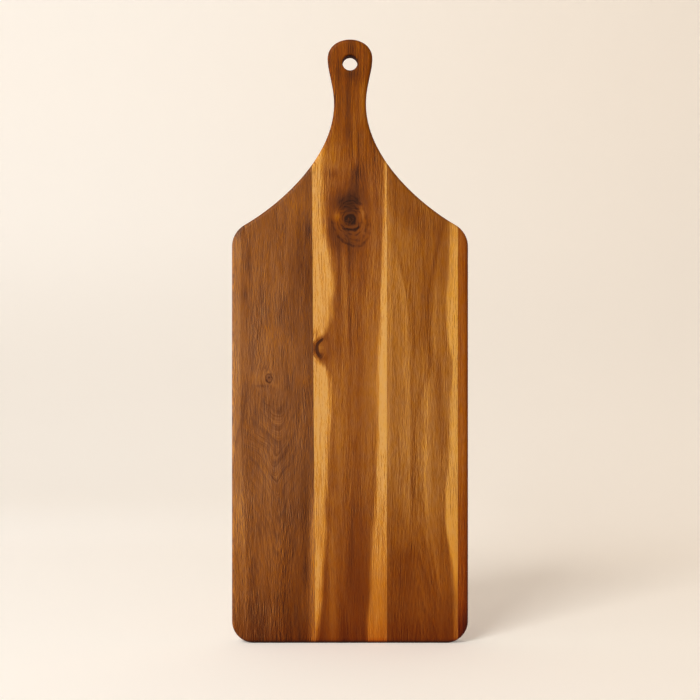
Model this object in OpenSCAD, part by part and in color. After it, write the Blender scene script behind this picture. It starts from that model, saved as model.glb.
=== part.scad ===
// Paddle charcuterie board, edge-glued from four staves of acacia.
// It stands on its base edge: X runs across the board, Y through its thickness, Z along the grain.
// The origin is the middle of the base edge, and the serving face looks along -Y.

/* [Body] */
// Width of the board across the grain
board_w = 199.5; // [150:0.5:260]
// Height of the body, from the base edge to where side and shoulder lines would meet
body_len = 347; // [250:1:450]
// Thickness of the board
board_t = 15; // [10:0.5:24]
// Radius of the rounded-over edge all the way round, front and back
edge_r = 3; // [1:0.25:4.5]
// Radius of the two corners at the base
base_corner_r = 18.5; // [6:0.5:40]

/* [Shoulders] */
// Radius of the two shoulder corners
shoulder_corner_r = 21; // [6:0.5:36]
// Slope of the shoulder where it leaves its corner, in degrees from the horizontal
shoulder_slope = 30.4; // [15:0.1:50]
// How far the shoulder holds its slope, as a share of the rise from corner to waist
shoulder_hold_share = 0.405; // [0.2:0.005:0.6]
// How far the neck holds upright below the waist, as a share of the same rise
neck_hold_share = 0.408; // [0.2:0.005:0.6]

/* [Handle] */
// Length of the handle, from the shoulder line's meeting with the side to the top
handle_len = 163; // [120:1:220]
// Width of the handle at its waist
waist_w = 27.1; // [20:0.1:36]
// Distance from the top of the handle down to its waist
waist_drop = 54.7; // [40:0.1:75]
// Width of the round head of the handle
head_w = 37.9; // [28:0.1:46]
// Distance from the top of the handle down to the widest part of the head
head_drop = 16.5; // [10:0.5:24]

/* [Hanging hole] */
// Diameter of the hanging hole
hole_d = 12.7; // [8:0.1:17]
// Distance from the top of the handle down to the centre of the hole
hole_drop = 20; // [16:0.1:26]
// Radius of the eased rim at both ends of the hole
hole_rim_r = 1.5; // [0.5:0.1:3]

/* [Staves] */
// Distance from the centre line to the left glue line, at the base edge
left_seam_at_base = 29.3; // [26:0.1:60]
// Distance from the centre line to the left glue line, at the height of the handle's top
left_seam_at_top = 33; // [26:0.1:60]
// Distance from the centre line to the middle glue line
middle_seam = 31.2; // [26:0.1:55]
// Width of the narrow strip at the right side
edge_strip_w = 8.7; // [5:0.1:18]
// Thickness of the cured glue in each joint
glue_t = 0.15; // [0.1:0.05:0.4]

/* [Hidden] */

// Flat steps along each curve of the outline, and across the rounded-over edge
corner_steps = 10;
sweep_steps = 24;
throat_steps = 14;
head_steps = 14;
edge_steps = 5;
bore_sides = 96;

// How far cutting shapes run past what they cut
overrun = 5;

// How far the round of a rim stops short of lying flush with the face, as a share of its radius
rim_lift_share = 0.05;

// Where the throat's S-curve holds its direction at each end, as shares of its height
throat_low_share = 0.425;
throat_high_share = 0.219;
// Where the head's crown holds its direction, as shares of its height and half width
head_side_share = 0.647;
head_crown_share = 0.524;

board_len = body_len + handle_len;
half_w = board_w / 2;
half_t = board_t / 2;
waist_z = board_len - waist_drop;
head_z = board_len - head_drop;
hole_z = board_len - hole_drop;

// Each glue line as its X at the base edge and at the height of the handle's top
left_seam = [-left_seam_at_base, -left_seam_at_top];
middle_seam_line = [middle_seam, middle_seam];
right_seam = [half_w - edge_strip_w, half_w - edge_strip_w];
left_limit = [-half_w - overrun, -half_w - overrun];
right_limit = [half_w + overrun, half_w + overrun];

function unit(v) = v / norm(v);

// The outward normal of a curve that runs up the right side of the board
function outward(tangent) = unit([tangent[1], -tangent[0]]);

// Points and outward normals along a circular arc, as [x, z] pairs
function arc(centre, r, from, to, steps) = [
    for (i = [0:steps])
        let (a = from + (to - from) * i / steps, n = [cos(a), sin(a)])
        [centre + r * n, n]
];

// Points and outward normals along a cubic curve, without its first point, where the last curve ended
function cubic(p0, p1, p2, p3, steps) = [
    for (i = [1:steps])
        let (
            t = i / steps,
            u = 1 - t,
            point = u * u * u * p0 + 3 * u * u * t * p1 + 3 * u * t * t * p2 + t * t * t * p3,
            tangent = u * u * (p1 - p0) + 2 * u * t * (p2 - p1) + t * t * (p3 - p2)
        )
        [point, outward(tangent)]
];

// The right half of the outline, from the base corner up to the middle of the crown
base_centre = [half_w - base_corner_r, base_corner_r];
base_corner = arc(base_centre, base_corner_r, -90, 0, corner_steps);

shoulder_turn = 90 - shoulder_slope;
shoulder_tangent = shoulder_corner_r * tan(shoulder_turn / 2);
shoulder_centre = [half_w - shoulder_corner_r, body_len - shoulder_tangent];
shoulder_corner = arc(shoulder_centre, shoulder_corner_r, 0, shoulder_turn, corner_steps);

up_the_shoulder = [-cos(shoulder_slope), sin(shoulder_slope)];
up = [0, 1];
sweep_start = [half_w, body_len] + shoulder_tangent * up_the_shoulder;
waist = [waist_w / 2, waist_z];
sweep_rise = waist_z - sweep_start[1];
sweep = cubic(
    sweep_start,
    sweep_start + shoulder_hold_share * sweep_rise * up_the_shoulder,
    waist - neck_hold_share * sweep_rise * up,
    waist,
    sweep_steps
);

head_side = [head_w / 2, head_z];
throat_rise = head_z - waist_z;
throat = cubic(
    waist,
    waist + throat_low_share * throat_rise * up,
    head_side - throat_high_share * throat_rise * up,
    head_side,
    throat_steps
);

crown = [0, board_len];
head = cubic(
    head_side,
    head_side + head_side_share * head_drop * up,
    crown + [head_crown_share * head_w / 2, 0],
    crown,
    head_steps
);

right_side = concat(base_corner, shoulder_corner, sweep, throat, head);
top = len(right_side) - 1;
left_side = [for (i = [top - 1:-1:0]) [for (v = right_side[i]) [-v[0], v[1]]]];
outline = concat(right_side, left_side);

// The edge's section from front to back, as [how far in from the outline, Y]
front_edge = [
    for (i = [0:edge_steps])
        let (a = 90 * i / edge_steps)
        [edge_r * (1 - sin(a)), -half_t + edge_r * (1 - cos(a))]
];
back_edge = [for (i = [edge_steps:-1:0]) [front_edge[i][0], -front_edge[i][1]]];
edge_section = concat(front_edge, back_edge);

// The whole panel after gluing, sawn to the outline and rounded over
module rounded_panel() {
    count = len(outline);
    rings = len(edge_section);
    points = [
        for (s = edge_section, p = outline)
            let (place = p[0] - s[0] * p[1])
            [place[0], s[1], place[1]]
    ];
    sides = [
        for (r = [0:rings - 2], i = [0:count - 1])
            let (a = r * count + i, b = r * count + (i + 1) % count)
            each [[a, a + count, b], [b, a + count, b + count]]
    ];
    // A flat face is filled by strips from each right-hand point to its mirror image on the left
    function face(ring, turned) = [
        for (i = [0:top - 1])
            let (
                a = ring * count + i,
                b = a + 1,
                d = ring * count + 2 * top - i,
                c = d - 1,
                strip = i == top - 1 ? [[a, b, d]] : [[a, b, c], [a, c, d]]
            )
            each [for (t = strip) turned ? [t[2], t[1], t[0]] : t]
    ];
    polyhedron(points, concat(sides, face(0, true), face(rings - 1, false)), convexity = 6);
}

// The place of a glue line at a height
function seam_x(seam, z) = seam[0] + (seam[1] - seam[0]) * z / board_len;

// All that lies between two glue lines, each moved sideways by its own shift
module between(left, left_shift, right, right_shift) {
    low = -overrun;
    high = board_len + overrun;
    rotate([90, 0, 0])
        linear_extrude(board_t + 2 * overrun, center = true)
            polygon([
                [seam_x(left, low) + left_shift, low],
                [seam_x(right, low) + right_shift, low],
                [seam_x(right, high) + right_shift, high],
                [seam_x(left, high) + left_shift, high],
            ]);
}

// One stave: the part of the panel between the glue in its two joints
module stave(left, right) {
    intersection() {
        rounded_panel();
        between(left, glue_t / 2, right, -glue_t / 2);
    }
}

// The cured glue of one joint, flush with the panel all round
module glue_line(seam) {
    intersection() {
        rounded_panel();
        between(seam, -glue_t / 2, seam, glue_t / 2);
    }
}

// The bore of the hanging hole with a round at both rims
module hanging_hole() {
    hole_r = hole_d / 2;
    rim_start = half_t - hole_rim_r + rim_lift_share * hole_rim_r;
    translate([0, 0, hole_z])
        rotate([90, 0, 0])
            rotate_extrude($fn = bore_sides) {
                translate([0, -rim_start])
                    square([hole_r, 2 * rim_start]);
                for (side = [0, 1])
                    mirror([0, side])
                        translate([0, rim_start])
                            difference() {
                                square([hole_r + hole_rim_r, hole_rim_r + overrun]);
                                translate([hole_r + hole_rim_r, 0])
                                    circle(hole_rim_r, $fn = bore_sides);
                            }
            }
}

// Dark heartwood with a pin knot
module left_stave() {
    color("#7a4825") stave(left_limit, left_seam);
}

// Heartwood between two pale sapwood edges, running up into the handle
module handle_stave() {
    color("#8f5426")
        difference() {
            stave(left_seam, middle_seam_line);
            hanging_hole();
        }
}

// Paler heartwood with a sapwood edge at its right
module right_stave() {
    color("#96602c") stave(middle_seam_line, right_seam);
}

// Narrow red-brown strip that closes the panel's right side
module edge_strip() {
    color("#854214") stave(right_seam, right_limit);
}

module left_glue_line() {
    color("#5a3318") glue_line(left_seam);
}

module middle_glue_line() {
    color("#5a3318") glue_line(middle_seam_line);
}

module right_glue_line() {
    color("#5a3318") glue_line(right_seam);
}

left_stave();
handle_stave();
right_stave();
edge_strip();
left_glue_line();
middle_glue_line();
right_glue_line();
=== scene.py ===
import math
import bpy
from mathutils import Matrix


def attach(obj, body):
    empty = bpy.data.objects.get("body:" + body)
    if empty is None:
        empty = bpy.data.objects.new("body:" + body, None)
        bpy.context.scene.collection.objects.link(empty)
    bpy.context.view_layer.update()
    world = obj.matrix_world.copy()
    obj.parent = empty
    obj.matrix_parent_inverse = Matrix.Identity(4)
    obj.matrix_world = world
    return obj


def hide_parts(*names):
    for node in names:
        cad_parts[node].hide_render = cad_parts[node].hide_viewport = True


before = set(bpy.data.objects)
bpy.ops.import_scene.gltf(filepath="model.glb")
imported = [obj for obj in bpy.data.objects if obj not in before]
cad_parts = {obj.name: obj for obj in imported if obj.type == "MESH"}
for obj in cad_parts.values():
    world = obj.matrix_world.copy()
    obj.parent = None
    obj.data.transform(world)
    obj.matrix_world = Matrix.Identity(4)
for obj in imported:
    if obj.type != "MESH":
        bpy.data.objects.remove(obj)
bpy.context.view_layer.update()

# Left stave: a wide board of dark acacia heartwood with one pin knot near its middle.
# It is planed and glued edge to edge with the others, and only then is the whole panel
# sawn to the paddle's outline, rounded over along its edges and rubbed with oil.

# The paddle's outline, in metres, with X across the grain and Y along it
board_w = 0.1995
board_t = 0.015
body_len = 0.347
handle_len = 0.163
board_len = body_len + handle_len
base_corner_r = 0.0185
shoulder_corner_r = 0.021
shoulder_slope = math.radians(30.4)
waist_w = 0.0271
waist_drop = 0.0547
head_w = 0.0379
head_drop = 0.0165
edge_r = 0.003
hole_d = 0.0127
hole_drop = 0.020
hole_rim_r = 0.0015
glue_t = 0.00015

# How far each curve holds its direction at an end, as a share of its rise or of the crown's half width
shoulder_hold = 0.405
neck_hold = 0.408
throat_low_hold = 0.425
throat_high_hold = 0.219
head_side_hold = 0.647
crown_hold = 0.524

# Flat steps along each curve of the outline, across the rounded-over edge and round the hole
outline_steps = 24
edge_steps = 10
hole_sides = 96


def sawn_outline():
    """The saw line as one closed curve: each point with its direction and the reach of its two handles."""
    turn = math.pi / 2 - shoulder_slope
    tangent = shoulder_corner_r * math.tan(turn / 2)
    slope = (-math.cos(shoulder_slope), math.sin(shoulder_slope))
    sweep = (board_w / 2 + tangent * slope[0], body_len + tangent * slope[1])
    waist_z = board_len - waist_drop
    rise = waist_z - sweep[1]
    throat = waist_drop - head_drop
    # Handles of 4/3 tan(turn / 4) radii make a curve follow an arc
    corner = base_corner_r * 4 / 3 * math.tan(math.pi / 8)
    shoulder = shoulder_corner_r * 4 / 3 * math.tan(turn / 4)
    base = (board_w - 2 * base_corner_r) / 3
    side = (body_len - tangent - base_corner_r) / 3
    right = [
        ((board_w / 2 - base_corner_r, 0), (1, 0), base, corner),
        ((board_w / 2, base_corner_r), (0, 1), corner, side),
        ((board_w / 2, body_len - tangent), (0, 1), side, shoulder),
        (sweep, slope, shoulder, shoulder_hold * rise),
        ((waist_w / 2, waist_z), (0, 1), neck_hold * rise, throat_low_hold * throat),
        ((head_w / 2, board_len - head_drop), (0, 1), throat_high_hold * throat, head_side_hold * head_drop),
    ]
    flat = crown_hold * head_w / 2
    crown = [((0, board_len), (-1, 0), flat, flat)]
    left = [((-x, y), (dx, -dy), after, before) for (x, y), (dx, dy), before, after in reversed(right)]
    points = right + crown + left

    curve = bpy.data.curves.new("sawn_outline", "CURVE")
    curve.dimensions = "2D"
    curve.fill_mode = "NONE"
    curve.resolution_u = outline_steps
    spline = curve.splines.new("BEZIER")
    spline.use_cyclic_u = True
    spline.bezier_points.add(len(points) - 1)
    for point, ((x, y), (dx, dy), before, after) in zip(spline.bezier_points, points):
        point.co = (x, y, 0)
        point.handle_left = (x - dx * before, y - dy * before, 0)
        point.handle_right = (x + dx * after, y + dy * after, 0)
    return curve


def feed(tree, socket, value):
    """Link a socket to a term, a socket or a node's first output, or set it to a plain value."""
    if isinstance(value, Term):
        value = value.socket
    if isinstance(value, bpy.types.Node):
        value = value.outputs[0]
    if isinstance(value, bpy.types.NodeSocket):
        tree.links.new(value, socket)
    else:
        socket.default_value = value


def add(tree, kind, inputs=None, **settings):
    """Add one node, with its settings and the named sockets that feed it."""
    node = tree.nodes.new(kind)
    for name, value in settings.items():
        setattr(node, name, value)
    for name, value in (inputs or {}).items():
        feed(tree, node.inputs[name], value)
    return node


class Term:
    """A number in a node tree, so that a rule of the wood can be written as a formula."""

    def __init__(self, tree, socket):
        self.tree = tree
        self.socket = socket

    def calc(self, operation, *others):
        node = self.tree.nodes.new("ShaderNodeMath")
        node.operation = operation
        for socket, value in zip(node.inputs, (self,) + others):
            feed(self.tree, socket, value)
        return Term(self.tree, node)

    def __add__(self, other):
        return self.calc("ADD", other)

    def __sub__(self, other):
        return self.calc("SUBTRACT", other)

    def __rsub__(self, other):
        return self.calc("MULTIPLY_ADD", -1, other)

    def __mul__(self, other):
        return self.calc("MULTIPLY", other)

    def __truediv__(self, other):
        return self.calc("DIVIDE", other)

    def __pow__(self, other):
        return self.calc("POWER", other)

    def __abs__(self):
        return self.calc("ABSOLUTE")

    __radd__ = __add__
    __rmul__ = __mul__

    def ease(self, low, high):
        """0 below low, 1 above high, and a soft step between them."""
        node = add(self.tree, "ShaderNodeMapRange", {"Value": self, "From Min": low, "From Max": high},
                   interpolation_type="SMOOTHSTEP")
        return Term(self.tree, node.outputs["Result"])

    def band(self, low, rise, fall, high):
        """1 from rise to fall, and 0 below low and above high."""
        return self.ease(low, rise) * self.ease(high, fall)


def group(name, takes, gives, kind="ShaderNodeTree"):
    """A node group with named sockets: the tree, what it is given and what it puts out."""
    tree = bpy.data.node_groups.new(name, kind)
    holds = {"Outline": "Geometry", "Section": "Geometry", "Stave": "Geometry", "Wood": "Material",
             "Steps": "Int", "Edge steps": "Int", "Place": "Vector", "Colour": "Color"}
    for side, labels in (("INPUT", takes), ("OUTPUT", gives)):
        for label in labels:
            held = holds.get(label, "Float")
            tree.interface.new_socket(label, in_out=side, socket_type="NodeSocket" + held)
    given = add(tree, "NodeGroupInput").outputs
    put = add(tree, "NodeGroupOutput").inputs
    return tree, given, put


def parts_of(tree, vector):
    """The three parts of a vector."""
    node = add(tree, "ShaderNodeSeparateXYZ", {"Vector": vector})
    return [Term(tree, socket) for socket in node.outputs]


def edge_section_tree():
    """The cutter's section: a straight wall that turns onto both faces through a quarter round."""
    tree, given, put = group(
        "edge_section", ["Thickness", "Radius", "Steps"], ["Section"], "GeometryNodeTree")
    thickness, radius, steps = (Term(tree, given[name]) for name in ("Thickness", "Radius", "Steps"))
    index = Term(tree, add(tree, "GeometryNodeInputIndex"))
    from_middle = index - steps - 0.5
    turn = (abs(from_middle) - 0.5) / steps * (math.pi / 2)
    inset = radius * (1 - turn.calc("COSINE"))
    reach = thickness * 0.5 - radius + radius * turn.calc("SINE")
    place = add(tree, "ShaderNodeCombineXYZ", {"X": inset * -1, "Y": from_middle.calc("SIGN") * reach})
    row = add(tree, "GeometryNodeMeshLine", {"Count": steps * 2 + 2})
    bent = add(tree, "GeometryNodeSetPosition", {"Geometry": row, "Position": place})
    section = add(tree, "GeometryNodeMeshToCurve", {"Mesh": bent})
    feed(tree, put["Section"], section)
    return tree


def stave_tree():
    """One stave: the outline's edge and the hole's rim are swept, both faces are filled between them,
    the panel is stood up, and what lies between the stave's two glue lines is kept."""
    tree, given, put = group("sawn_stave", [
        "Outline", "Thickness", "Edge radius", "Edge steps", "Hole radius", "Hole height", "Rim radius",
        "Length", "Left at base", "Left at top", "Right at base", "Right at top", "Wood"],
        ["Stave"], "GeometryNodeTree")
    section = edge_section_tree()

    def swept(path, radius):
        sizes = {"Thickness": given["Thickness"], "Radius": radius, "Steps": given["Edge steps"]}
        cutter = add(tree, "GeometryNodeGroup", sizes, node_tree=section)
        level = add(tree, "GeometryNodeSetCurveNormal", {"Curve": path}, mode="Z_UP")
        return add(tree, "GeometryNodeCurveToMesh", {"Curve": level, "Profile Curve": cutter})

    circle = add(tree, "GeometryNodeCurvePrimitiveCircle",
                 {"Resolution": hole_sides, "Radius": given["Hole radius"]})
    centre = add(tree, "ShaderNodeCombineXYZ", {"Y": given["Hole height"]})
    drilled = add(tree, "GeometryNodeTransform", {"Geometry": circle, "Translation": centre})
    inward = add(tree, "GeometryNodeReverseCurve", {"Curve": drilled})
    edge = swept(given["Outline"], given["Edge radius"])
    rim = swept(inward, given["Rim radius"])
    walls = add(tree, "GeometryNodeJoinGeometry")
    feed(tree, walls.inputs[0], edge)
    feed(tree, walls.inputs[0], rim)

    position = add(tree, "GeometryNodeInputPosition")
    open_edge = Term(tree, add(tree, "GeometryNodeInputMeshEdgeNeighbors"))
    height = parts_of(tree, position)[2]
    on_front = open_edge.calc("COMPARE", 1, 0.5) * height.calc("GREATER_THAN", 0)
    borders = add(tree, "GeometryNodeMeshToCurve", {"Mesh": walls, "Selection": on_front})
    face = add(tree, "GeometryNodeFillCurve", {"Curve": borders}, mode="NGONS")
    half = Term(tree, given["Thickness"]) * 0.5
    up = add(tree, "ShaderNodeCombineXYZ", {"Z": half})
    down = add(tree, "ShaderNodeCombineXYZ", {"Z": half * -1})
    front = add(tree, "GeometryNodeTransform", {"Geometry": face, "Translation": up})
    turned = add(tree, "GeometryNodeFlipFaces", {"Mesh": face})
    back = add(tree, "GeometryNodeTransform", {"Geometry": turned, "Translation": down})
    shell = add(tree, "GeometryNodeJoinGeometry")
    for part in (walls, front, back):
        feed(tree, shell.inputs[0], part)
    weld = 1e-6
    panel = add(tree, "GeometryNodeMergeByDistance", {"Geometry": shell, "Distance": weld})
    stood = add(tree, "GeometryNodeTransform", {"Geometry": panel, "Rotation": (math.pi / 2, 0, 0)})

    # A block between the two glue lines, each of which may lean
    cube = add(tree, "GeometryNodeMeshCube", {"Size": (2, 2, 2)})
    corner_x, corner_y, corner_z = parts_of(tree, position)
    right_side = corner_x.calc("GREATER_THAN", 0)
    top = corner_z.calc("GREATER_THAN", 0)
    past = 0.1
    length = Term(tree, given["Length"])
    along = length * (past * 2 + 1) * top - length * past
    share = top * (past * 2 + 1) - past
    left_x, right_x = (
        Term(tree, given[side + " at base"]) * (1 - share) + Term(tree, given[side + " at top"]) * share
        for side in ("Left", "Right"))
    across = left_x * (1 - right_side) + right_x * right_side
    through = corner_y * given["Thickness"]
    spot = add(tree, "ShaderNodeCombineXYZ", {"X": across, "Y": through, "Z": along})
    block = add(tree, "GeometryNodeSetPosition", {"Geometry": cube, "Position": spot})
    cut = add(tree, "GeometryNodeMeshBoolean", operation="INTERSECT", solver="MANIFOLD")
    feed(tree, cut.inputs["Mesh 2"], stood)
    feed(tree, cut.inputs["Mesh 2"], block)

    # The planed faces shade flat, the rounded edges smooth, and the glued edges stay crisp
    planed = 0.9999
    crisp_turn = math.radians(35)
    facing = parts_of(tree, add(tree, "GeometryNodeInputNormal"))[1]
    rounded = abs(facing).calc("LESS_THAN", planed)
    smooth = add(tree, "GeometryNodeSetShadeSmooth", {"Geometry": cut, "Shade Smooth": rounded})
    angle = Term(tree, add(tree, "GeometryNodeInputMeshEdgeAngle"))
    crisp = add(tree, "GeometryNodeSetShadeSmooth",
                {"Geometry": smooth, "Shade Smooth": angle.calc("LESS_THAN", crisp_turn)}, domain="EDGE")
    real = add(tree, "GeometryNodeRealizeInstances", {"Geometry": crisp})
    finished = add(tree, "GeometryNodeSetMaterial", {"Geometry": real, "Material": given["Wood"]})
    feed(tree, put["Stave"], finished)
    return tree


scene = bpy.context.scene
outline = sawn_outline()
sawing = stave_tree()


def saw(name, left, right, wood):
    """A stave or a glue line between two lines, each given by its X at the base and at the handle's top."""
    blank = bpy.data.objects.new(name + "_blank", outline)
    scene.collection.objects.link(blank)
    cut = blank.modifiers.new("sawn", "NODES")
    cut.node_group = sawing
    sizes = {"Thickness": board_t, "Edge radius": edge_r, "Edge steps": edge_steps,
             "Hole radius": hole_d / 2, "Hole height": board_len - hole_drop, "Rim radius": hole_rim_r,
             "Length": board_len, "Left at base": left[0], "Left at top": left[1],
             "Right at base": right[0], "Right at top": right[1], "Wood": wood}
    for item in sawing.interface.items_tree:
        if item.in_out == "INPUT" and item.name in sizes:
            cut[item.identifier] = sizes[item.name]
    ready = blank.evaluated_get(bpy.context.evaluated_depsgraph_get())
    mesh = bpy.data.meshes.new_from_object(ready)
    mesh.name = name
    bpy.data.objects.remove(blank)
    piece = bpy.data.objects.new(name, mesh)
    scene.collection.objects.link(piece)
    return piece


def tint(red, green, blue):
    """A colour as seen, from 0 to 255 a channel, turned by the sRGB rule into what the shader needs."""
    shares = (channel / 255 for channel in (red, green, blue))
    return tuple(c / 12.92 if c <= 10 / 255 else ((c + 0.055) / 1.055) ** 2.4 for c in shares) + (1,)


def use(tree, shared, inputs):
    """Place one of the shared effects in a material."""
    node = add(tree, "ShaderNodeGroup", inputs, node_tree=shared)
    return {socket.name: Term(tree, socket) for socket in node.outputs}


def stretched(tree, place, size):
    """A place measured in spots of this size in millimetres across and along the grain."""
    across, along = size
    return add(tree, "ShaderNodeVectorMath", {0: place, 1: (1 / across, 1 / across, 1 / along)},
               operation="MULTIPLY")


def noise(tree, place, size, detail=0, seed=0):
    """Noise about zero whose blotches have this size in millimetres across and along the grain."""
    cloud = add(tree, "ShaderNodeTexNoise",
                {"Vector": stretched(tree, place, size), "W": seed, "Scale": 1, "Detail": detail,
                 "Roughness": 0.55}, noise_dimensions="4D")
    return (Term(tree, cloud.outputs["Fac"]) - 0.5) * 2


def grain_flow_group():
    """Fibres sway a little as they run up a stave, and part round a knot as a stream does round a post.
    It gives each spot's place among the fibres, and its distance from the knot in knot radii. Where no knot
    is given, the fibres only sway."""
    tree, given, put = group(
        "grain_flow", ["Place", "Sway", "Knot X", "Knot Z", "Knot radius", "Stretch"], ["Place", "Ring"])
    x, y, z = parts_of(tree, given["Place"])
    aside = x - given["Knot X"]
    above = (z - given["Knot Z"]) / given["Stretch"]
    radius = Term(tree, given["Knot radius"])
    away = aside * aside + above * above
    nearest = 0.01
    parted = (1 - radius * radius / away.calc("MAXIMUM", nearest)).calc("MAXIMUM", 0)
    sway = noise(tree, given["Place"], (60, 130), 1) * given["Sway"]
    among = aside * parted + given["Knot X"] + sway
    feed(tree, put["Place"], add(tree, "ShaderNodeCombineXYZ", {"X": among, "Y": y, "Z": z}))
    feed(tree, put["Ring"], away.calc("SQRT") / radius)
    return tree


def acacia_figure_group():
    """Acacia's figure along the grain, about zero: broad, medium and fine streaks, then hair lines with a
    short speckle among them, and dashes, each set off from the lines beside it. The darkest hair lines are
    flecks, and open pores lie among them, both from 0 to 1."""
    tree, given, put = group(
        "acacia_figure", ["Place", "Seed", "Run", "Hair length", "Dash length"],
        ["Broad", "Medium", "Fine", "Hair", "Dashes", "Flecks", "Pores"])
    x, y, z = parts_of(tree, given["Place"])
    slant = 0.7
    seed_step = 170
    across = x + y * slant + Term(tree, given["Seed"]) * seed_step
    run = Term(tree, given["Run"])

    def cloud(column, length):
        spot = add(tree, "ShaderNodeCombineXYZ", {"X": column, "Y": z / length})
        value = add(tree, "ShaderNodeTexNoise", {"Vector": spot, "Scale": 1, "Detail": 0},
                    noise_dimensions="2D")
        return (Term(tree, value.outputs["Fac"]) - 0.5) * 2

    def streaks(width, length):
        return cloud(across / width, length)

    def lines(width, length, aside):
        """Straight lines side by side, each of which grows darker and paler on its own along the grain and
        is set off from the two beside it."""
        step = 7.31
        wander = streaks(4, 90) * 0.5
        column = ((across + wander + aside) / width).calc("FLOOR") * step
        neighbours = cloud(column - step, length) + cloud(column + step, length)
        return cloud(column, length) - neighbours * 0.35

    hair_w = 0.8
    dash_w = 0.7
    speckle_length = 1.3
    bold = streaks(15, run * 60) * 0.6 + 1
    hair = lines(hair_w, Term(tree, given["Hair length"]), 0)
    dashes = lines(dash_w, Term(tree, given["Dash length"]), 400)
    speckle = lines(hair_w, speckle_length, 800)
    hair = (hair + speckle * 0.35) * bold
    feed(tree, put["Broad"], streaks(14, run * 110) + streaks(8, run * 70) * 0.5)
    feed(tree, put["Medium"], streaks(5.5, run * 45))
    feed(tree, put["Fine"], streaks(2.2, run * 26) * bold)
    feed(tree, put["Hair"], hair)
    feed(tree, put["Dashes"], dashes * bold)
    feed(tree, put["Flecks"], hair.ease(-0.35, -0.8))
    pore_size = (0.7, 9)
    cells = add(tree, "ShaderNodeTexVoronoi",
                {"Vector": stretched(tree, given["Place"], pore_size), "Scale": 1})
    feed(tree, put["Pores"], Term(tree, cells.outputs["Distance"]).ease(0.30, 0.16))
    return tree


def grain_streak_group():
    """One streak that runs with the grain: full strength along its middle, fading to its sides and ends."""
    tree, given, put = group("grain_streak", ["Place", "X", "Width", "Low", "High", "Fade"], ["Streak"])
    x, _, z = parts_of(tree, given["Place"])
    off = (x - given["X"]) / given["Width"]
    body = (off * off * -1).calc("EXPONENT")
    fade = Term(tree, given["Fade"])
    from_low = ((z - given["Low"]) / fade + 0.5).ease(0, 1)
    from_high = ((Term(tree, given["High"]) - z) / fade + 0.5).ease(0, 1)
    feed(tree, put["Streak"], body * from_low * from_high)
    return tree


def stain_group():
    """One soft oval stain, full strength at its middle."""
    tree, given, put = group("stain", ["Place", "X", "Z", "Half width", "Half height"], ["Stain"])
    x, _, z = parts_of(tree, given["Place"])
    aside = (x - given["X"]) / given["Half width"]
    above = (z - given["Z"]) / given["Half height"]
    feed(tree, put["Stain"], ((aside * aside + above * above) * -1).calc("EXPONENT"))
    return tree


def nested_arches_group():
    """Growth rings cut at a slant show as arches one inside the other: 1 on their dark lines and below 0 on
    the pale lines beside them. Turn is 1 where they open upward and -1 where they open downward. Place is
    each spot's place among fibres that run along the arches."""
    tree, given, put = group(
        "nested_arches", ["Place", "Apex X", "Left slope", "Right slope", "Turn", "Pitch", "Seed"],
        ["Lines", "Place"])
    x, y, z = parts_of(tree, given["Place"])
    aside = x - given["Apex X"]
    rounding = 24
    arms = (aside * given["Right slope"]).calc("SMOOTH_MAX", aside * given["Left slope"] * -1, rounding)
    waver = noise(tree, given["Place"], (22, 50), 2, given["Seed"]) * 0.45
    level = (z - arms * given["Turn"]) / given["Pitch"] + waver
    phase = level.calc("FRACT")
    feed(tree, put["Lines"], phase.band(0.45, 0.85, 0.9, 1) - phase.band(0, 0.1, 0.1, 0.3) * 0.6)
    bent = add(tree, "ShaderNodeCombineXYZ", {"X": level * given["Pitch"] * 0.5, "Y": y, "Z": z})
    feed(tree, put["Place"], bent)
    return tree


def ruffled(tree, place, size, amount):
    """A place pushed about a little, so that rings and stains lose their even outline."""
    cloud = add(tree, "ShaderNodeTexNoise", {"Vector": place, "Scale": 1 / size, "Detail": 2})
    centred = add(tree, "ShaderNodeVectorMath", {0: cloud.outputs["Color"], 1: (0.5, 0.5, 0.5)},
                  operation="SUBTRACT")
    return add(tree, "ShaderNodeVectorMath", {0: centred, 1: (amount, amount, amount), 2: place},
               operation="MULTIPLY_ADD")


def blend(tree, share, first, second, **settings):
    """Two colours mixed: all the first at a share of 0, and all the second at 1."""
    first_colour, second_colour, mixed_colour = 6, 7, 2
    node = add(tree, "ShaderNodeMix", {"Factor": share, first_colour: first, second_colour: second},
               data_type="RGBA", **settings)
    return node.outputs[mixed_colour]


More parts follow.
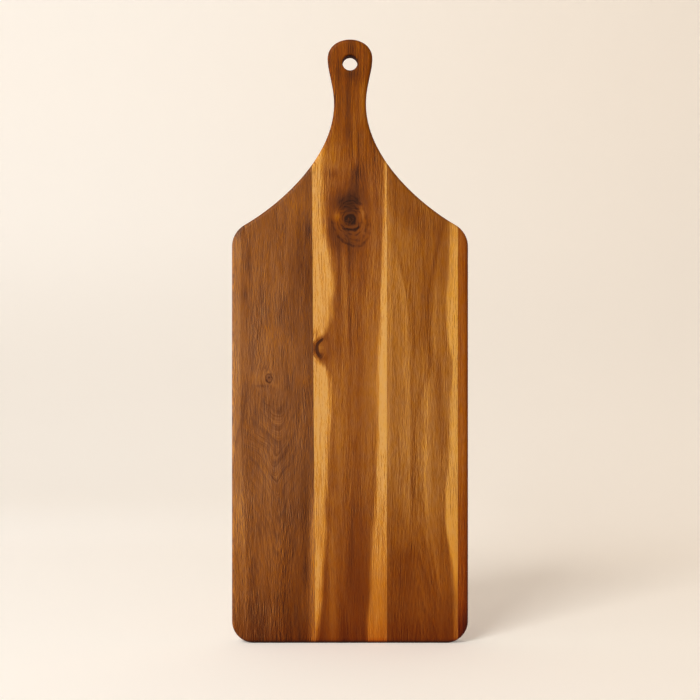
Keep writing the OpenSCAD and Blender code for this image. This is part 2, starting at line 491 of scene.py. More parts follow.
def oil_and_shade_group():
    """Oil deepens the colour, most of all in sapwood and on end grain. The rounded edges are darker, partly
    from oil and partly as painted shade. The colour grows darker toward the base end and to the right, and
    along the foot it turns to a painted contact shadow. Some spots stay greyer than others, pores stay dark
    and a little open, and the cut edges are the least smooth."""
    tree, given, put = group(
        "oil_and_shade", ["Colour", "Place", "Sapwood", "Greyness", "Flecks", "Pores"],
        ["Colour", "Roughness", "Height"])
    x, _, z = parts_of(tree, given["Place"])
    level = add(tree, "ShaderNodeRGBToBW", {"Color": given["Colour"]})
    drift = noise(tree, given["Place"], (4, 9), 1, 3) * 0.11 + given["Greyness"]
    drifted = blend(tree, drift, given["Colour"], level, clamp_factor=False, clamp_result=True)
    _, through, along = parts_of(tree, add(tree, "ShaderNodeTexCoord").outputs["Normal"])
    end_grain = abs(along).ease(0.3, 1)
    # The rounded edges darken, partly from oil soaked into them and partly as painted shade along the
    # outline
    edge = (1 - abs(through)).ease(0.3, 0.9)
    # Painted contact shadow at the foot, where the board stands on the floor: deeper colour over the lowest
    # few millimetres, and a blend toward dark brown along the very bottom
    painted_base_shade = z.ease(6, 0.4)
    painted_contact_shadow = z.ease(3.4, 0.8)
    sapwood = Term(tree, given["Sapwood"])
    # Darker toward the base end, more so toward the right, and again over the last few centimetres
    darker_low = (x * 0.002 + 0.31) * z.ease(150, 15) * (0.75 - sapwood * 0.1)
    darker_low = darker_low + z.ease(28, -2) * (sapwood * 0.1 + 0.2)
    depth = darker_low + end_grain * 0.2 + edge * 0.5 + painted_base_shade * (sapwood * 0.3 + 0.2) + 1
    oiled_and_shaded = add(tree, "ShaderNodeGamma", {"Color": drifted, "Gamma": depth})
    pores = Term(tree, given["Pores"])
    flecks = Term(tree, given["Flecks"])
    pore_and_shadow_colour = tint(50, 24, 8)
    # Pores darken toward dark brown, and so does the painted contact shadow along the bottom
    darkened = blend(tree, pores * (0.3 - sapwood * 0.2) + painted_contact_shadow * 0.8, oiled_and_shaded, pore_and_shadow_colour)
    feed(tree, put["Colour"], darkened)
    feed(tree, put["Roughness"], flecks * 0.08 + pores * 0.12 + edge * 0.35 + 0.45)
    feed(tree, put["Height"], 1 - flecks * 0.3 - pores * 0.7)
    return tree


grain_flow = grain_flow_group()
acacia_figure = acacia_figure_group()
grain_streak = grain_streak_group()
stain = stain_group()
nested_arches = nested_arches_group()
oil_and_shade = oil_and_shade_group()


def start_wood(name):
    """A material, with each spot's place on the board in millimetres."""
    wood = bpy.data.materials.new(name)
    wood.use_nodes = True
    tree = wood.node_tree
    spot = add(tree, "ShaderNodeTexCoord").outputs["Object"]
    mm_per_metre = 1000
    place = add(tree, "ShaderNodeVectorMath", {0: spot, "Scale": mm_per_metre}, operation="SCALE")
    return wood, tree, place


def drawn(tree, along, points):
    """A line drawn through points of height and X in millimetres, such as the sapwood's edge."""
    height, left, width = 510, -100, 200
    curve = add(tree, "ShaderNodeFloatCurve", {"Value": along / height})
    line = curve.mapping.curves[0].points
    marks = sorted((a / height, (b - left) / width) for a, b in points)
    for _ in marks[2:]:
        line.new(0.5, 0.5)
    for point, mark in zip(line, marks):
        point.location = mark
    curve.mapping.update()
    return Term(tree, curve.outputs["Value"]) * width + left


def streaked(tree, place, streaks):
    """The sum of given streaks. Each has its X, or a line drawn through points, its width, low end,
    high end, the fade of its ends, and its strength in tone."""
    tones = []
    for x, width, low, high, fade, strength in streaks:
        if isinstance(x, list):
            x = drawn(tree, parts_of(tree, place)[2], x)
        streak = {"Place": place, "X": x, "Width": width, "Low": low, "High": high, "Fade": fade}
        tones.append(use(tree, grain_streak, streak)["Streak"] * strength)
    return sum(tones[1:], tones[0])


def blotched(tree, place, stains):
    """The sum of given stains: X, Z, half width, half height, and strength in tone."""
    tones = []
    for x, z, half_w, half_h, strength in stains:
        oval = {"Place": place, "X": x, "Z": z, "Half width": half_w, "Half height": half_h}
        tones.append(use(tree, stain, oval)["Stain"] * strength)
    return sum(tones[1:], tones[0])


def weighed(figure, **weights):
    """The sum of some kinds of acacia's streaks and lines, each with its weight in tone."""
    tones = [figure[kind.capitalize()] * weight for kind, weight in weights.items()]
    return sum(tones[1:], tones[0])


def stained(tree, tone, stops):
    """The wood's colour for each tone, where a tone is its brightness from 0 to 255."""
    ramp = add(tree, "ShaderNodeValToRGB", {"Fac": tone / 255})
    stops = sorted(stops.items())
    for _ in stops[2:]:
        ramp.color_ramp.elements.new(0.5)
    for element, (level, colour) in zip(ramp.color_ramp.elements, stops):
        element.position = level / 255
        element.color = tint(*colour)
    return ramp.outputs["Color"]


def coat(tree, colour, roughness, height, sheen, relief):
    """Give a material its colour, roughness and sheen, and a fine relief: its strength and its depth."""
    shader = tree.nodes["Principled BSDF"]
    shader.inputs["Specular IOR Level"].default_value = sheen
    feed(tree, shader.inputs["Base Color"], colour)
    feed(tree, shader.inputs["Roughness"], roughness)
    strength, depth = relief
    bump = add(tree, "ShaderNodeBump", {"Strength": strength, "Distance": depth, "Height": height})
    feed(tree, shader.inputs["Normal"], bump.outputs["Normal"])


def oil(wood, place, colour, sapwood, greyness, figure):
    """Finish a material with the oil that the whole board is rubbed with, and with the painted shade along
    its rounded edges and foot.
    """
    oil_sheen = 0.09
    pore_relief = (0.25, 0.0002)
    finish = use(wood.node_tree, oil_and_shade, {
        "Colour": colour, "Place": place, "Sapwood": sapwood, "Greyness": greyness,
        "Flecks": figure["Flecks"], "Pores": figure["Pores"]})
    coat(wood.node_tree, finish["Colour"], finish["Roughness"], finish["Height"], oil_sheen, pore_relief)


dark_heartwood, tree, place = start_wood("dark_heartwood")
x, _, z = parts_of(tree, place)
flow = use(tree, grain_flow, {
    "Place": place, "Sway": 2, "Knot X": -68.4, "Knot Z": 223.8, "Knot radius": 2.9, "Stretch": 1.3})
figure = use(tree, acacia_figure, {
    "Place": flow["Place"], "Seed": 1.3, "Run": 1, "Hair length": 11.5, "Dash length": 4.2})

# Growth rings cut at a slant below the pin knot, and fibres that follow them
steeper = z.ease(190, 90)
wavy = ruffled(tree, place, 30, 14)
rings = use(tree, nested_arches, {
    "Place": wavy, "Apex X": -60, "Left slope": steeper * 1.7 + 1.1, "Right slope": steeper * 0.6 + 2,
    "Turn": 1, "Pitch": 15, "Seed": 2})
patchy = noise(tree, place, (14, 20), 1, 6).ease(-0.5, 0.15)
arches = rings["Lines"] * patchy * streaked(tree, place, [(-64, 22, 60, 212, 50, 1)])
fibre = weighed(figure, fine=6, hair=18, dashes=15, flecks=-7) * (1 - z.ease(235, 275) * 0.2)
bent = use(tree, acacia_figure, {
    "Place": rings["Place"], "Seed": 2.6, "Run": 0.6, "Hair length": 9, "Dash length": 4})
along_arches = weighed(bent, fine=8, hair=20, dashes=18, flecks=-7)
arched = streaked(tree, place, [(-65, 20, 122, 205, 50, 1)])
fibre = fibre * (1 - arched * 0.35) + along_arches * arched * 0.4
smudges = noise(tree, flow["Place"], (5, 30), 1, 11).ease(0.05, 0.45)
dark_ground = 99.5
tone = weighed(figure, broad=8, medium=7) + fibre - smudges * 12 - arches * 10 + dark_ground
tone = tone - z.ease(70, 20) * 4

# Paler wood along the outer side, with a thin light line near the base where it begins
border = drawn(tree, z, [
    (0, -85.6), (36, -86.3), (70, -87.4), (104, -88.9), (138, -90.4), (171, -91.6), (205, -92.3),
    (290, -92.4), (350, -91.5), (510, -91)])
beyond = border - x
line = (beyond - 1.2) / 1.1
tone = tone + beyond.ease(-0.7, 0.9) * (z.ease(0, 130) * 8 + 8)
tone = tone + (line ** 2 * -1).calc("EXPONENT") * z.ease(150, 90) * 8
greyness = z.band(60, 150, 240, 330) * 0.05 - z.ease(110, 30) * 0.03 + arches * 0.05 + smudges * 0.07
greyness = greyness - figure["Dashes"] * 0.1 + figure["Flecks"] * 0.1 + 0.005
greyness = greyness + beyond.ease(-1, 2) * z.ease(150, 260) * 0.05
tone = tone + streaked(tree, flow["Place"], [
    # A painted highlight along the left rounded edge, which faces the light
    (-99.5, 2.6, -20, 318, 24, 8),
    (-32, 24, -20, 520, 20, -16),
    (-34, 4, 295, 352, 26, -8),
    (-38, 6, 60, 150, 50, -8),
    (-29.5, 5.4, -40, 120, 60, 60),
])
marks = blotched(tree, flow["Place"], [
    (-66, 250, 10, 14, 6),
    (-44, 370, 12, 14, 11),
    (-46, 314, 9, 16, -6),
    (-34.5, 349, 3, 6, -12),
    (-67, 259, 6, 10, 9),
    (-59, 285, 5, 14, -8),
    (-51, 248, 6, 16, 9),
    (-59, 197, 6, 14, -6),
    (-42, 224, 6, 8, 9),
    (-87, 319, 2.2, 7, -9),
    (-89, 294, 3, 8, -12),
    (-60, 197, 14, 9, -5),
    (-78, 224, 8, 6, 6),
    (-97, 350, 6, 9, -30),
    (-79, 266, 6, 30, -11),
    (-76, 20, 12, 26, -20),
    (-93, 14, 7, 40, -7),
    (-74, 217.2, 5, 1.2, -20),
    (-72.5, 232.5, 2.5, 2.2, -10),
    (-64.8, 217.6, 4, 1.6, 9),
    (-50, 109, 9, 14, -10),
])
tone = tone + marks * (1 - figure["Hair"] * 1.2)

# The pin knot: a dark eye, a dark ring and a pale one round it
ring = flow["Ring"] + noise(tree, place, (2.5, 2.5), 1, 9) * 0.5
tone = tone - ring.band(0.6, 0.85, 1, 1.2) * 22 - ring.ease(0.45, 0.16) * 36
tone = tone + ring.band(1.1, 1.3, 1.5, 1.9) * 8
greyness = greyness - marks * 0.005 + ring.ease(1.3, 0.9) * 0.1
colour = stained(tree, tone, {
    45: (72, 36, 10), 63: (98, 50, 15), 76: (116, 63, 20), 94: (138, 80, 32), 118: (167, 106, 51),
    145: (200, 134, 60)})
oil(dark_heartwood, place, colour, 0, greyness, figure)

# Each glue line is given by its X at the base edge and at the height of the handle's top
left_seam = (-0.0293, -0.033)


def beside(seam, shift):
    """A line beside a glue line, moved over by a shift."""
    return (seam[0] + shift, seam[1] + shift)


left_stave = saw("left_stave_oiled", (-board_w, -board_w), beside(left_seam, -glue_t / 2), dark_heartwood)
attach(left_stave, "root")
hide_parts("left_stave")

# Handle stave: the middle board, whose warm heartwood lies between two pale sapwood edges.
# It runs the whole length and becomes the neck and the head of the handle, where it is
# drilled for hanging. A large knot sits below the neck and half a small one at the left.


def sapwood_side_group():
    """How far a spot lies in the sapwood beside a border: 0 in the heartwood and 1 in the sapwood."""
    tree, given, put = group("sapwood_side", ["Place", "Border", "Softness", "Side"], ["Sapwood"])
    x = parts_of(tree, given["Place"])[0]
    ragged = noise(tree, given["Place"], (1.3, 40), 1) * 1.3 + noise(tree, given["Place"], (5, 60))
    depth = (x - given["Border"]) * given["Side"] / given["Softness"] + ragged * 0.6
    feed(tree, put["Sapwood"], (depth * 0.5 + 0.5).ease(0, 1))
    return tree


def distance(aside, above):
    """How far a spot lies from a centre."""
    return (aside ** 2 + above ** 2).calc("SQRT")


sapwood_side = sapwood_side_group()

streaked_heartwood, tree, place = start_wood("streaked_heartwood")
x, _, z = parts_of(tree, place)
knot = use(tree, grain_flow, {
    "Place": place, "Sway": 1.4, "Knot X": 0.5, "Knot Z": 358, "Knot radius": 6.5, "Stretch": 1.6})
half_knot = use(tree, grain_flow, {
    "Place": knot["Place"], "Sway": 0, "Knot X": -27, "Knot Z": 248, "Knot radius": 5, "Stretch": 1.2})
flow = half_knot["Place"]
figure = use(tree, acacia_figure, {
    "Place": flow, "Seed": 4.7, "Run": 1.4, "Hair length": 15, "Dash length": 3.8})
calm = knot["Ring"].ease(1.2, 4.5) * 0.75 + 0.25
strength = (z.ease(0, 150) * 0.45 + 0.55 + z.ease(240, 290) * 0.2) * calm
fibre = weighed(figure, fine=7, hair=15, dashes=11) * strength
warm_ground = 94
tone = weighed(figure, broad=8, medium=7) + fibre - figure["Flecks"] * 2 + warm_ground
tone = tone + streaked(tree, flow, [
    (-0.6, 1.4, 245, 345, 20, -20),
    (-4, 1.8, 255, 330, 30, 8),
    (-8.4, 1.5, 272, 335, 30, -12),
    (-10, 6, 140, 235, 40, 15),
    (17, 5, 130, 335, 50, 10),
    (9, 6, 300, 345, 30, -9),
    (3, 7, 20, 140, 70, -10),
    (9, 7, 30, 118, 40, -8),
    (-15, 4, -10, 100, 40, 17),
    (-2.6, 2.2, 425, 475, 14, -15),
    (0, 1.2, 408, 436, 10, -14),
    (-5, 2.5, 405, 437, 12, -10),
    (7, 2, 398, 432, 14, -15),
    (3.8, 1.5, 405, 448, 12, 12),
    (9.5, 2.6, 438, 472, 12, 14),
    (-11, 6, 395, 438, 24, 8),
    (-17, 5, 402, 420, 14, 12),
    (-11, 3, 470, 490, 14, -10),
    (6.7, 3, 468, 500, 14, -11),
    (0.8, 3, 490, 505, 8, -8),
    (6.7, 3, 130, 160, 14, -11),
    (-14, 5, 115, 128, 12, 13),
    (0, 60, -20, 30, 40, -3),
    (0.4, 3.4, 472, 520, 10, -12),
    (0, 40, 440, 540, 50, -9),
    (0, 40, 478, 540, 20, -5),
    (14, 8, 392, 440, 30, -8),
    (0, 40, 425, 475, 40, -6),
    (0, 40, 395, 450, 30, -3),
    (18.5, 4, 165, 232, 30, 3),
    (23.2, 2.6, 190, 330, 40, 15),
    (-11, 3, 165, 210, 20, 10),
    (-17, 5, 470, 520, 20, -10),
    (17, 5, 470, 520, 20, -12),
])

# Sapwood beside both joints, up to borders that waver with the grain
left_border = drawn(tree, z, [
    (2, -28.6), (11, -27.4), (36, -25.4), (45, -25.6), (53, -24.4), (65, -23.2), (75, -21.2),
    (85, -20.3), (95, -20), (106, -20.9), (116, -21.5), (126, -20.2), (154, -19.3), (180, -17.4),
    (205, -16.6), (217, -17), (222, -17.4), (228, -18.8), (232, -20.8), (235, -23.2), (237.5, -25.8),
    (240, -27.6), (243, -31), (250, -33), (255.4, -30), (258, -26.2), (260, -22.6), (264, -20.4),
    (268, -18.6), (273, -16.9), (278, -16.2), (288, -16.2), (298, -14.5), (308, -15.1), (318, -16.5),
    (329, -17.2), (339, -20.2), (349, -22.6), (359, -23.3), (369, -22.2), (379, -21.3), (390, -20.8),
    (400, -20.7), (414, -20.4), (424, -21.8), (436, -25), (510, -28)])
right_border = drawn(tree, z, [
    (2, 14.8), (24, 15.4), (45, 17), (65, 17), (75, 17.6), (95, 19), (106, 20.3), (126, 21.9),
    (146, 22.2), (156, 22.5), (187, 22.4), (207, 23.2), (227, 23.7), (258, 25.4), (268, 25.9),
    (288, 26.2), (308, 27.1), (329, 27.8), (339, 28), (349, 28.7), (359, 29.2), (404, 29.6),
    (510, 31)])
left_blend = z.band(325, 350, 405, 440) * 2.6 + 3.2
right_blend = 2.3
left_sap = use(tree, sapwood_side, {
    "Place": place, "Border": left_border, "Softness": left_blend, "Side": -1})["Sapwood"]
right_sap = use(tree, sapwood_side, {
    "Place": place, "Border": right_border, "Softness": right_blend, "Side": 1})["Sapwood"]
sapwood = left_sap.calc("MAXIMUM", right_sap)
sap_ground = 175
sap_tone = weighed(figure, broad=7, medium=12) + fibre * 2.2 + sap_ground
sap_tone = sap_tone + streaked(tree, place, [
    (-28, 4, -20, 80, 30, 26),
    (28.5, 4, 165, 330, 60, 16),
    (-26, 10, 402, 450, 30, -8),
    (-28, 8, 335, 352, 20, -10),
    (28.5, 6, 285, 325, 30, -8),
    (0, 90, -20, 130, 50, -15),
    (28, 14, -20, 60, 50, -15),
    (-28, 4, 130, 165, 20, -10),
    (26, 10, 85, 125, 20, -8),
    (20.5, 4, 20, 105, 40, -10),
])
tone = tone + (sap_tone - tone) * sapwood

# Dark and pale spots that don't follow the grain, most of them round the two knots
spoiled = ruffled(tree, place, 9, 4)
tone = tone + blotched(tree, spoiled, [
    (1, 361, 13, 19, -28),
    (-4, 373, 15, 9, -36),
    (0, 357, 8, 8, -14),
    (0, 326, 7, 14, -14),
    (6.5, 396, 3.5, 6, -14),
    (4, 388, 8, 14, -30),
    (-13.5, 396, 4.5, 4.5, -24),
    (5, 398, 3.6, 4, -8),
    (-9, 339, 6.5, 11, -30),
    (-16.8, 349, 3.6, 12, -26),
    (-11, 360.4, 3, 4.6, 30),
    (10.6, 364, 2.8, 5.6, 28),
    (5.5, 338, 5, 11, -16),
    (-22.5, 240.6, 4, 2.4, -14),
    (-28.5, 260.5, 2.6, 4, -40),
    (-28, 237, 3, 3, -22),
    (-22, 273, 3, 4, -12),
    (-21, 257, 3.6, 3.2, -10),
    (-17, 248, 7, 9, -9),
    (-29.8, 249, 1.8, 7, -45),
    (-13, 384, 4.5, 7, -9),
    (18, 351, 5, 16, 7),
    (0, 480.5, 7, 4, -13),
    (5, 167, 4, 8, -9),
    (-25.5, 242.4, 2.2, 2.2, -40),
    (-24.5, 265.5, 5.5, 6, -15),
])

# The large knot: a rough eye, then broken rings that lean and flatten out above it
knot_x, _, knot_z = parts_of(tree, ruffled(tree, ruffled(tree, place, 15, 5), 4, 1.8))
eye_x = knot_x - 0.5
eye_z = knot_z - 357.4
from_eye = distance(eye_x, eye_z)
broken = noise(tree, place, (4, 4), 1, 5).ease(-0.3, 0.3)
less_broken = broken * 0.7 + 0.3
tone = tone - from_eye.ease(6.4, 3.6) * (noise(tree, place, (1.7, 1.7), 1, 4) * 50 + 24)
tone = tone - from_eye.band(2.4, 3.4, 4.4, 5.6) * eye_z.ease(-5, 2) * 24
tone = tone - from_eye.band(7.4, 8.6, 9, 10.4) * eye_z.ease(-1, -6) * (broken * 0.5 + 0.5) * 38
leaning = eye_x + eye_z.calc("MINIMUM", 0) * 0.2
away = distance(leaning, eye_z * 0.7)
phase = (away / 2.5 + noise(tree, place, (9, 9), 0, 7) * 0.5).calc("FRACT")
tone = tone - phase.band(0.3, 0.7, 0.8, 1) * broken * away.ease(17, 12) * away.ease(5, 7) * 20
tone = tone - away.band(14.6, 15.8, 16.4, 17.4) * eye_z.ease(6, -4) * less_broken * 24
tone = tone - away.band(11.8, 12.8, 13.4, 14.4) * eye_x.ease(3, 8) * less_broken * 20
flatter = distance(eye_x * 0.5, eye_z)
phase = (flatter / 3 + noise(tree, place, (8, 4), 0, 2) * 0.6).calc("FRACT")
tone = tone - (phase.band(0.3, 0.6, 0.75, 1) - 0.4) * eye_z.ease(5, 8) * away.ease(13, 9) * 12

# The half knot, cut off by the left joint: a crescent of dark bark beside the joint
bark_tone = 40
outer = distance(knot_x + 21.2, knot_z - 248.6)
inner = distance(knot_x + 20, knot_z - 249)
crescent = outer.ease(9.3, 8.5) * inner.ease(6.4, 7.4) * (x - (z - 248.6) * 0.22).ease(-23.4, -25.4)
tone = tone + (bark_tone - tone) * crescent + blotched(tree, spoiled, [(-26.4, 248, 1.6, 4, 14)])
colour = stained(tree, tone, {
    28: (46, 22, 9), 50: (82, 41, 16), 66: (107, 55, 18), 80: (129, 67, 19), 92: (143, 80, 26),
    105: (158, 94, 34), 122: (176, 111, 43), 145: (201, 133, 54), 162: (216, 150, 67), 178: (224, 165, 87)})
red_patch = blotched(tree, place, [(-11, 360.4, 4, 6, 1), (0, 360, 14, 16, 0.5)])
greyness = z.ease(100, 20) * -0.02 - red_patch * 0.06 - z.ease(385, 430) * 0.065 - z.ease(455, 480) * 0.06
oil(streaked_heartwood, place, colour, sapwood, greyness, figure)

middle_seam = (0.0312, 0.0312)
handle_stave = saw("handle_stave_oiled", beside(left_seam, glue_t / 2), beside(middle_seam, -glue_t / 2),
                   streaked_heartwood)
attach(handle_stave, "root")
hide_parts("handle_stave")

# Right stave: a board of paler, olive-brown heartwood with a wavy edge of sapwood at its right.
# It is planed square, glued between the handle stave and the edge strip, and oiled with them.
# Its grain fans out toward the base, where growth rings cut at a slant make a narrow arch.


def grain_fan_group():
    """Grain that spreads from an axis toward the base: each spot's place where it still runs straight."""
    tree, given, put = group("grain_fan", ["Place", "Axis X", "Low", "High", "Spread"], ["Place"])
    x, y, z = parts_of(tree, given["Place"])
    spread = z.ease(given["High"], given["Low"]) * given["Spread"] + 1
    among = (x - given["Axis X"]) / spread + given["Axis X"]
    feed(tree, put["Place"], add(tree, "ShaderNodeCombineXYZ", {"X": among, "Y": y, "Z": z}))
    return tree


grain_fan = grain_fan_group()

pale_heartwood, tree, place = start_wood("pale_heartwood")
x, _, z = parts_of(tree, place)
fan = use(tree, grain_fan, {"Place": place, "Axis X": 51, "Low": 10, "High": 165, "Spread": 0.2})
flow = use(tree, grain_flow, {"Place": fan["Place"], "Sway": 1.4})["Place"]
figure = use(tree, acacia_figure, {
    "Place": flow, "Seed": 8.1, "Run": 1.5, "Hair length": 15, "Dash length": 4.4})
strength = z.ease(40, 165) * 0.57 + 0.43 - z.ease(290, 340) * 0.3
fibre = weighed(figure, fine=9, hair=20, dashes=17) * strength
pale_ground = 105
tone = weighed(figure, broad=6, medium=7) * (strength * 0.6 + 0.4) + fibre
tone = tone - figure["Flecks"] * 2 + pale_ground
tone = tone + streaked(tree, place, [
    (32, 3.8, 140, 380, 50, 22),
    (37, 3, 130, 230, 40, -6),
    ([(0, 54), (171, 54), (196, 55.7), (218, 62), (229, 66), (240, 67.5), (260, 66), (290, 65.9),
      (320, 71), (349, 77.4), (510, 110)], 1.8, 120, 350, 30, -13),
    ([(0, 84), (39, 77.4), (62, 73.5), (95, 68), (110, 65), (129, 64), (154, 63.4), (188, 64),
      (214, 66), (510, 90)], 1.4, 40, 195, 24, 13),
    ([(0, 80), (39, 73.4), (62, 69.5), (95, 64), (510, 60)], 1, 45, 100, 16, 9),
    ([(0, 80), (95, 68), (129, 65), (188, 64.5), (214, 66), (510, 90)], 4.5, 110, 205, 30, 9),
    ([(0, 84), (95, 82.8), (121, 81.1), (154, 78.6), (188, 76), (222, 75.2), (252, 74.3), (510, 74)],
     3.2, 60, 250, 50, -12),
    ([(0, 72), (256, 71.8), (298, 72.6), (340, 76.9), (510, 90)], 2, 248, 340, 30, 10),
    (60, 9, 245, 345, 40, -11),
    (76, 6, 300, 360, 30, -14),
    (42, 12, -20, 100, 60, -13),
    (72, 14, -20, 90, 60, -9),
    (60, 40, 345, 420, 40, -11),
    (36, 10, 362, 410, 30, -10),
    (52, 10, 352, 390, 24, -14),
    (78, 6, 215, 340, 30, -7),
    (65.5, 3, 190, 220, 16, 18),
    (79.5, 2.5, 146, 162, 10, 14),
    (72.6, 3, 55, 135, 24, 9),
    (62, 14, 343, 368, 14, -9),
    (36, 5, 318, 345, 14, -8),
    (66, 3, 228, 345, 20, -6),
    (60, 60, -20, 40, 50, -5),
    (53, 18, 45, 78, 20, -8),
    (62, 4, 148, 178, 16, 12),
    (45.5, 3, 215, 240, 12, 8),
    (80, 5, 40, 75, 24, 8),
    (43, 5, 78, 98, 16, 10),
    (55, 6, 70, 84, 12, -7),
])

# A narrow arch of growth rings near the base, and a crease that is pale on its left and dark on its right
rings = use(tree, nested_arches, {
    "Place": place, "Apex X": 57, "Left slope": 8, "Right slope": 2.6, "Turn": -1, "Pitch": 26, "Seed": 6})
tone = tone - rings["Lines"] * streaked(tree, place, [(58, 16, 0, 130, 50, 6)])
crease = x - drawn(tree, z, [
    (0, 50), (163, 50.2), (226, 50.5), (284, 48), (305, 44.7), (347, 34), (510, 10)])
ridge = crease.band(-8, -1, -0.3, 1) * 15 - crease.band(-0.3, 1, 3, 10) * 6
tone = tone + ridge * z.ease(85, 130) * z.ease(345, 300)

# Sapwood at the right, with a wavy border
border = drawn(tree, z, [
    (2, 87.4), (24, 87.1), (36, 86.9), (55, 86.3), (65, 86), (75, 85), (85, 83.5), (95, 81.6),
    (106, 81.1), (121, 81.4), (136, 81.8), (146, 82.6), (156, 83.6), (166, 84.6), (187, 84.8),
    (207, 84.7), (217, 85), (227, 85.7), (237, 86.2), (247.5, 84.5), (258, 82.8), (268, 82.1),
    (288, 81.7), (298, 81.9), (318, 82.8), (329, 83.4), (510, 83)])
sap_blend = 1.8
sapwood = use(tree, sapwood_side, {
    "Place": place, "Border": border, "Softness": sap_blend, "Side": 1})["Sapwood"]
sap_ground = 163
sap_tone = weighed(figure, broad=7, medium=9) + fibre * 1.5 + sap_ground + streaked(tree, place, [
    (86, 8, 50, 140, 40, 4),
    (86, 12, 300, 380, 40, -9),
    (87, 9, 340, 380, 14, -16),
    # Painted shade toward the bottom right corner, where the rounded corner turns from the light
    (88, 9, -20, 48, 34, -36),
])
tone = tone + (sap_tone - tone) * sapwood
colour = stained(tree, tone, {
    45: (80, 36, 5), 60: (103, 49, 8), 75: (125, 66, 14), 90: (146, 84, 24), 105: (163, 101, 36),
    125: (184, 121, 51), 150: (208, 143, 58), 170: (222, 160, 74)})
greyness = z.band(90, 140, 210, 260) * 0.02
oil(pale_heartwood, place, colour, sapwood, greyness, figure)

edge_strip_w = 0.0087
right_seam = (board_w / 2 - edge_strip_w, board_w / 2 - edge_strip_w)
right_stave = saw("right_stave_oiled", beside(middle_seam, glue_t / 2), beside(right_seam, -glue_t / 2),
                  pale_heartwood)
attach(right_stave, "root")
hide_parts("right_stave")

# Edge strip: what the outline left of a fourth stave, straight red-brown heartwood.
# It is glued like the others, and its outer side is sawn and rounded over with the panel.
red_heartwood, tree, place = start_wood("red_heartwood")
flow = use(tree, grain_flow, {"Place": place, "Sway": 3})["Place"]
figure = use(tree, acacia_figure, {
    "Place": flow, "Seed": 12.9, "Run": 1.8, "Hair length": 22, "Dash length": 4.4})
red_ground = 103
tone = weighed(figure, broad=7, medium=6, fine=6, hair=15, dashes=11, flecks=-2) + red_ground
tone = tone + streaked(tree, flow, [
    # Painted shade along the outer rounded side, which faces away from the light
    (100.5, 3.4, -20, 400, 20, -28),
    # Painted shade at the foot, by the rounded bottom corner
    (95, 14, -20, 24, 30, -26),
])
colour = stained(tree, tone, {
    40: (76, 27, 2), 58: (101, 40, 4), 78: (129, 60, 8), 96: (150, 78, 14), 110: (164, 91, 22),
    130: (184, 112, 35)})
greyness = -0.01
oil(red_heartwood, place, colour, 0, greyness, figure)

edge_strip = saw("edge_strip_oiled", beside(right_seam, glue_t / 2), (board_w, board_w), red_heartwood)
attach(edge_strip, "root")
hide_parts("edge_strip")

# Glue lines: a thin film of wood glue in each joint between two staves.
# It was squeezed out under the clamps, cured, and sanded flush with the panel.
cured_glue, tree, place = start_wood("cured_glue")
cloud = noise(tree, place, (3, 12), 3)
colour = stained(tree, cloud * 20 + 60, {45: (70, 38, 18), 60: (92, 52, 26), 75: (112, 66, 34)})
glue_sheen = 0.3
glue_relief = (0.2, 0.0001)
coat(tree, colour, cloud * 0.1 + 0.45, cloud, glue_sheen, glue_relief)
for name, seam in (("left_glue_line", left_seam), ("middle_glue_line", middle_seam),
                   ("right_glue_line", right_seam)):
    glue_line = saw(name + "_cured", beside(seam, -glue_t / 2), beside(seam, glue_t / 2), cured_glue)
    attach(glue_line, "root")
    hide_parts(name)

# Floor and backdrop: one sheet of cream paper that lies flat under the board and sweeps up behind it.
# It glows a little where it is seen, so that it stays as pale as paper in daylight, but its glow casts no
# light on the board. Where the glow varies, it is painted light: cool and brighter at the left, warm at the
# right, brighter on the floor, and dimmer along the lower sweep as painted shade.
paper_w = 3.0
paper_front = -2.6
paper_top = 2.6
sweep_start = 0.55
sweep_r = 0.7
sweep_steps = 24
turns = [math.pi / 2 * i / sweep_steps for i in range(1, sweep_steps + 1)]
profile = [(paper_front, 0.0), (sweep_start, 0.0)]
profile += [(sweep_start + sweep_r * math.sin(a), sweep_r * (1 - math.cos(a))) for a in turns]
profile += [(sweep_start + sweep_r, paper_top)]
sheet = bpy.data.meshes.new("paper_sweep")
points = [(side * paper_w, y, z) for y, z in profile for side in (-0.5, 0.5)]
faces = [(2 * i, 2 * i + 1, 2 * i + 3, 2 * i + 2) for i in range(len(profile) - 1)]
sheet.from_pydata(points, [], faces)
sheet.polygons.foreach_set("use_smooth", [True] * len(faces))
paper = bpy.data.materials.new("cream_paper")
paper.use_nodes = True
tree = paper.node_tree
shader = tree.nodes["Principled BSDF"]
shader.inputs["Roughness"].default_value = 0.9
shader.inputs["Specular IOR Level"].default_value = 0.1
shader.inputs["Base Color"].default_value = tint(250, 239, 225)
across, back, height = parts_of(tree, add(tree, "ShaderNodeTexCoord").outputs["Object"])
left_glow = (0.92, 1.0, 1.06, 1)
right_glow = (0.97, 0.84, 0.70, 1)
feed(tree, shader.inputs["Emission Color"], blend(tree, across.ease(-0.6, 0.6), left_glow, right_glow))


def seen_part(tree):
    """1 for rays that are seen, straight, mirrored or through glass, and 0 for those that light things."""
    rays = add(tree, "ShaderNodeLightPath").outputs
    straight = Term(tree, rays["Is Camera Ray"])
    return straight.calc("MAXIMUM", rays["Is Glossy Ray"]).calc("MAXIMUM", rays["Is Transmission Ray"])
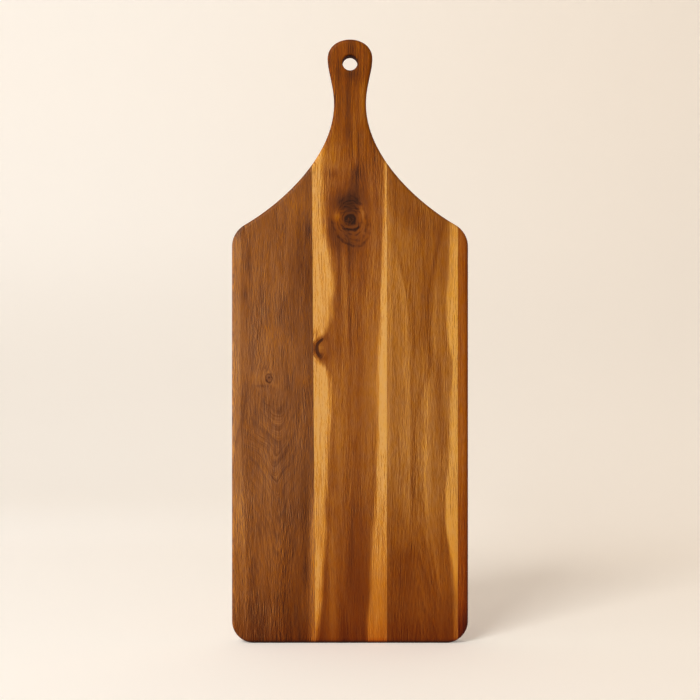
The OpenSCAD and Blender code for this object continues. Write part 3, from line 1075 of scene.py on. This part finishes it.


# Painted shade dims the glow along the lower sweep, most at the left, and painted light makes it brighter at
# the left and on the floor
painted_fold_shade = height.band(0.0, 0.05, 0.15, 0.5) * (0.05 - across * 0.07)
painted_glow = 0.17 - across * 0.03 + height.ease(0.35, 0.0) * 0.05 - painted_fold_shade
feed(tree, shader.inputs["Emission Strength"], seen_part(tree) * back.ease(-0.8, -0.25) * painted_glow)
sheet.materials.append(paper)
backdrop = bpy.data.objects.new("paper_sweep", sheet)
scene.collection.objects.link(backdrop)

# Light: a large, slightly cool window at the upper left in front of the board, and a warm room that is
# brighter toward the left. Together they light the serving face at a plain level, at which a colour
# renders about as it is written.
room = bpy.data.worlds.new("room_light")
room.use_nodes = True
tree = room.node_tree
toward_right = parts_of(tree, add(tree, "ShaderNodeTexCoord").outputs["Generated"])[0]
even = 0.19
from_left = 0.75
room_colour = (1.12, 1.0, 0.90, 1)
room_seen = tint(244, 232, 216)
light = toward_right.ease(-0.2, -1.0) * from_left + even
seen = seen_part(tree)
background = tree.nodes["Background"]
feed(tree, background.inputs["Color"], blend(tree, seen, room_colour, room_seen))
feed(tree, background.inputs["Strength"], light + (1.0 - light) * seen)
scene.world = room

window_place = (-1.3, -2.5, 2.2)
window_aim = (0.0, 0.0, 0.2)
window = bpy.data.lights.new("window_light", "AREA")
window.shape = "RECTANGLE"
window.size = 1.3
window.size_y = 1.3
window.energy = 76.0
window.color = (0.945, 1.0, 1.04)
across, back, up = (a - b for a, b in zip(window_aim, window_place))
stand = bpy.data.objects.new("window_light", window)
stand.location = window_place
stand.rotation_euler = (math.atan2(math.hypot(across, back), -up), 0, math.atan2(-across, back))
scene.collection.objects.link(stand)

# Camera: a long lens on a level stand in front of the board, square to its serving face.
# It looks level at a point a little below the board's middle, so that the sides stay upright.
camera_distance = 1.25
camera_height = 0.2475
camera = bpy.data.cameras.new("camera")
camera.lens = 76.2
camera.sensor_width = 36
eye = bpy.data.objects.new("camera", camera)
eye.location = (0, -board_t / 2 - camera_distance, camera_height)
eye.rotation_euler = (math.pi / 2, 0, 0)
scene.collection.objects.link(eye)
scene.camera = eye
scene.view_settings.view_transform = "Standard"
